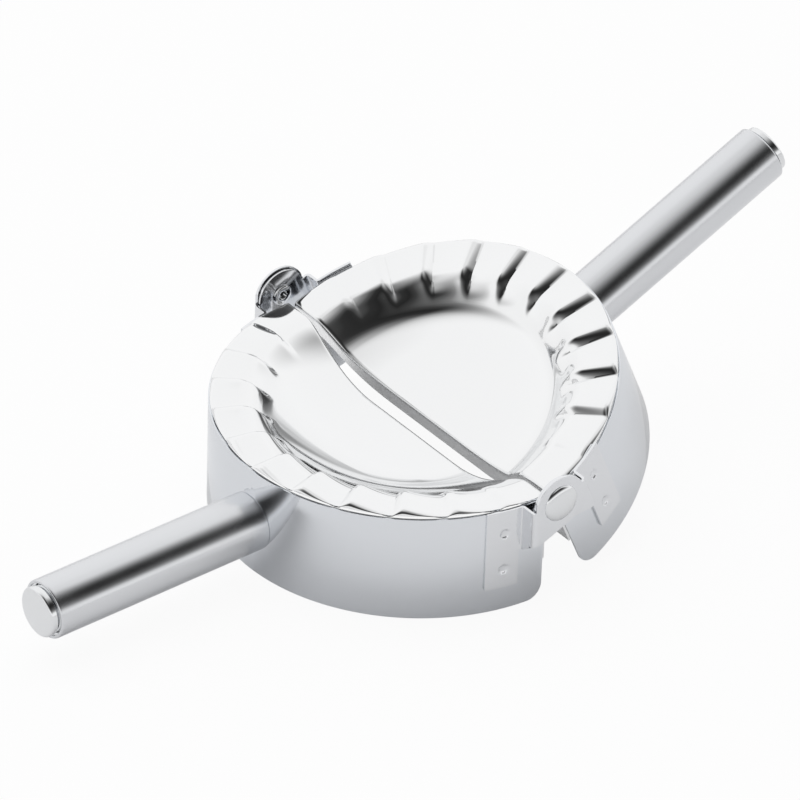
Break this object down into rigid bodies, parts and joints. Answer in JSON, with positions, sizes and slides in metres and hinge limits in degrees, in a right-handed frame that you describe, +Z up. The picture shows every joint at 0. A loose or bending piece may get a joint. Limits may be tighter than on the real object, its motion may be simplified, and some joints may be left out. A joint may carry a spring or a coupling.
{
  "type": "empanada press",
  "caption": "Hinged steel press for filled pastry pockets: a pair of dished half rings with pleated rims, each on a tube handle.",
  "frame": {"origin": "on the standing surface, on the hinge plane, midway between the hinges", "axes": "+X away from the lying half along the handles, towards the raised half; +Y along the hinge axis towards the back hinge; +Z up"},
  "size_m": [0.2728, 0.1372, 0.0796],
  "materials": {
    "polished_plate": "mirror polished",
    "polished_ring": "polished",
    "satin_leaf": "satin",
    "brushed_tube": "brushed along the tube",
    "turned_plug": "fine turned",
    "plain_steel": "plain",
    "rivet_steel": "polished"
  },
  "bodies": {
    "left_half": {"left_press_plate": "polished_plate", "left_skirt": "polished_ring", "left_front_leaf": "satin_leaf", "left_back_leaf": "satin_leaf", "left_handle_tube": "brushed_tube", "left_end_plug": "turned_plug", "left_handle_insert": "plain_steel", "left_handle_screw": "plain_steel", "front_rivet": "rivet_steel", "back_rivet": "rivet_steel", "front_washer": "rivet_steel", "back_washer": "rivet_steel"},
    "right_half": {"right_press_plate": "polished_plate", "right_skirt": "polished_ring", "right_front_leaf": "satin_leaf", "right_back_leaf": "satin_leaf", "right_handle_tube": "brushed_tube", "right_end_plug": "turned_plug", "right_handle_insert": "plain_steel", "right_handle_screw": "plain_steel"}
  },
  "joints": [
    {"name": "main_hinge", "type": "hinge", "parent": "left_half", "child": "right_half", "pos_m": [0, 0, 0.036], "axis": [0, -1, 0], "range_deg": [-23.35, 156.65]}
  ]
}
